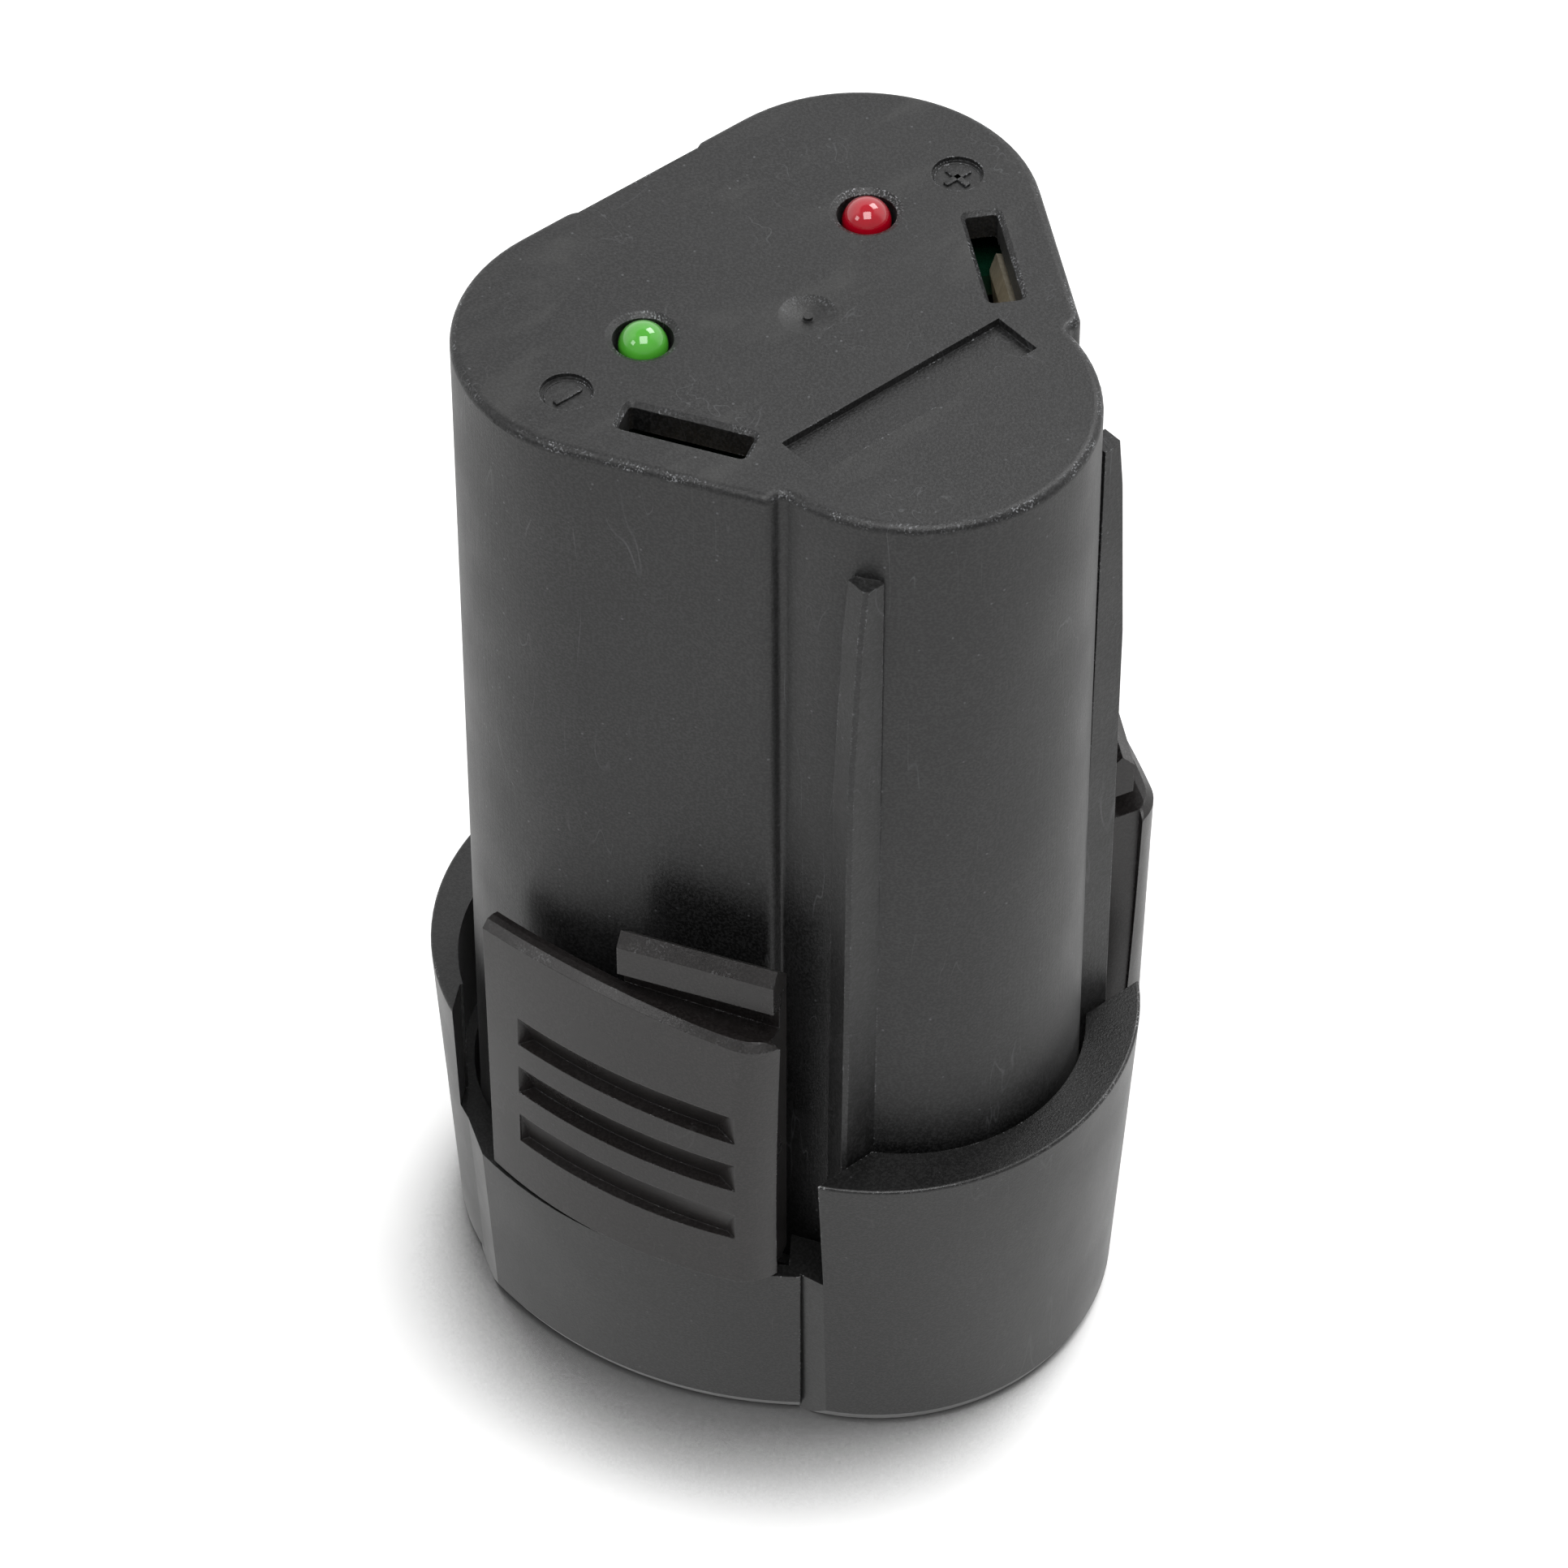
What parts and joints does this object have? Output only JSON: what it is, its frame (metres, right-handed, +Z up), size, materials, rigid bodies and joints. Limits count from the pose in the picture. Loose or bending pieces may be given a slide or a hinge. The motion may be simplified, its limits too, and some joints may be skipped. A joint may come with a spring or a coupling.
{
  "type": "slide-in power tool battery pack",
  "caption": "Slide-in battery pack for a compact cordless tool: lobed tower with terminal slots, wider base cup and a sprung latch on each side.",
  "frame": {"origin": "on the base face, on the axis that runs between the cells", "axes": "+Z up along the tower, in the direction in which the pack slides into the tool; -Y towards the single front lobe; -X the left latch"},
  "size_m": [0.0466, 0.0468, 0.0803],
  "materials": {
    "housing_plastic": "dark grey glass-filled nylon with a fine eroded texture",
    "latch_plastic": "dark grey nylon, smoother, with a soft sheen",
    "green_lens": "green tinted clear lamp body",
    "red_lens": "red tinted clear lamp body",
    "cell_wrap": "shrink sleeve over a steel can",
    "paper": "pale fibre paper",
    "foam": "closed cell foam",
    "carrier_plastic": "plain moulded plastic",
    "board": "green solder mask on glass fibre board",
    "chip": "black moulded chips",
    "lead_cover": "black insulated lead",
    "contact_brass": "bent contact sheet, nickel washed",
    "nickel": "nickel strip, spot welded",
    "spring_steel": "drawn spring wire",
    "screw_steel": "plated steel"
  },
  "bodies": {
    "pack": {"base_cup": "housing_plastic", "board_carrier": "carrier_plastic", "board_components": "chip", "bottom_bridge_strip": "nickel", "bottom_pad": "foam", "cell_front": "cell_wrap", "cell_left": "cell_wrap", "cell_right": "cell_wrap", "circuit_board": "board", "green_led": "green_lens", "housing_screws": "screw_steel", "insulator_ring_front": "paper", "insulator_ring_left": "paper", "insulator_ring_right": "paper", "left_latch_spring": "spring_steel", "negative_clip": "contact_brass", "negative_lead": "lead_cover", "negative_tab": "nickel", "positive_clip": "contact_brass", "positive_strip": "nickel", "red_led": "red_lens", "right_latch_spring": "spring_steel", "top_bridge_strip": "nickel", "top_insulator": "paper", "upper_housing": "housing_plastic"},
    "left_latch_body": {"left_latch": "latch_plastic"},
    "right_latch_body": {"right_latch": "latch_plastic"}
  },
  "joints": [
    {"name": "left_latch_hinge", "type": "hinge", "parent": "pack", "child": "left_latch_body", "pos_m": [-0.0159, -0.00953, 0.0105], "axis": [-0.5, 0.866, 0], "range_deg": [0, 2.5], "stiffness_Nm_per_rad": 0.12, "springref_deg": -4.58, "deforming": ["left_latch_spring"]},
    {"name": "right_latch_hinge", "type": "hinge", "parent": "pack", "child": "right_latch_body", "pos_m": [0.0159, -0.00953, 0.0105], "axis": [-0.5, -0.866, 0], "range_deg": [0, 2.5], "stiffness_Nm_per_rad": 0.12, "springref_deg": -4.58, "deforming": ["right_latch_spring"]}
  ]
}
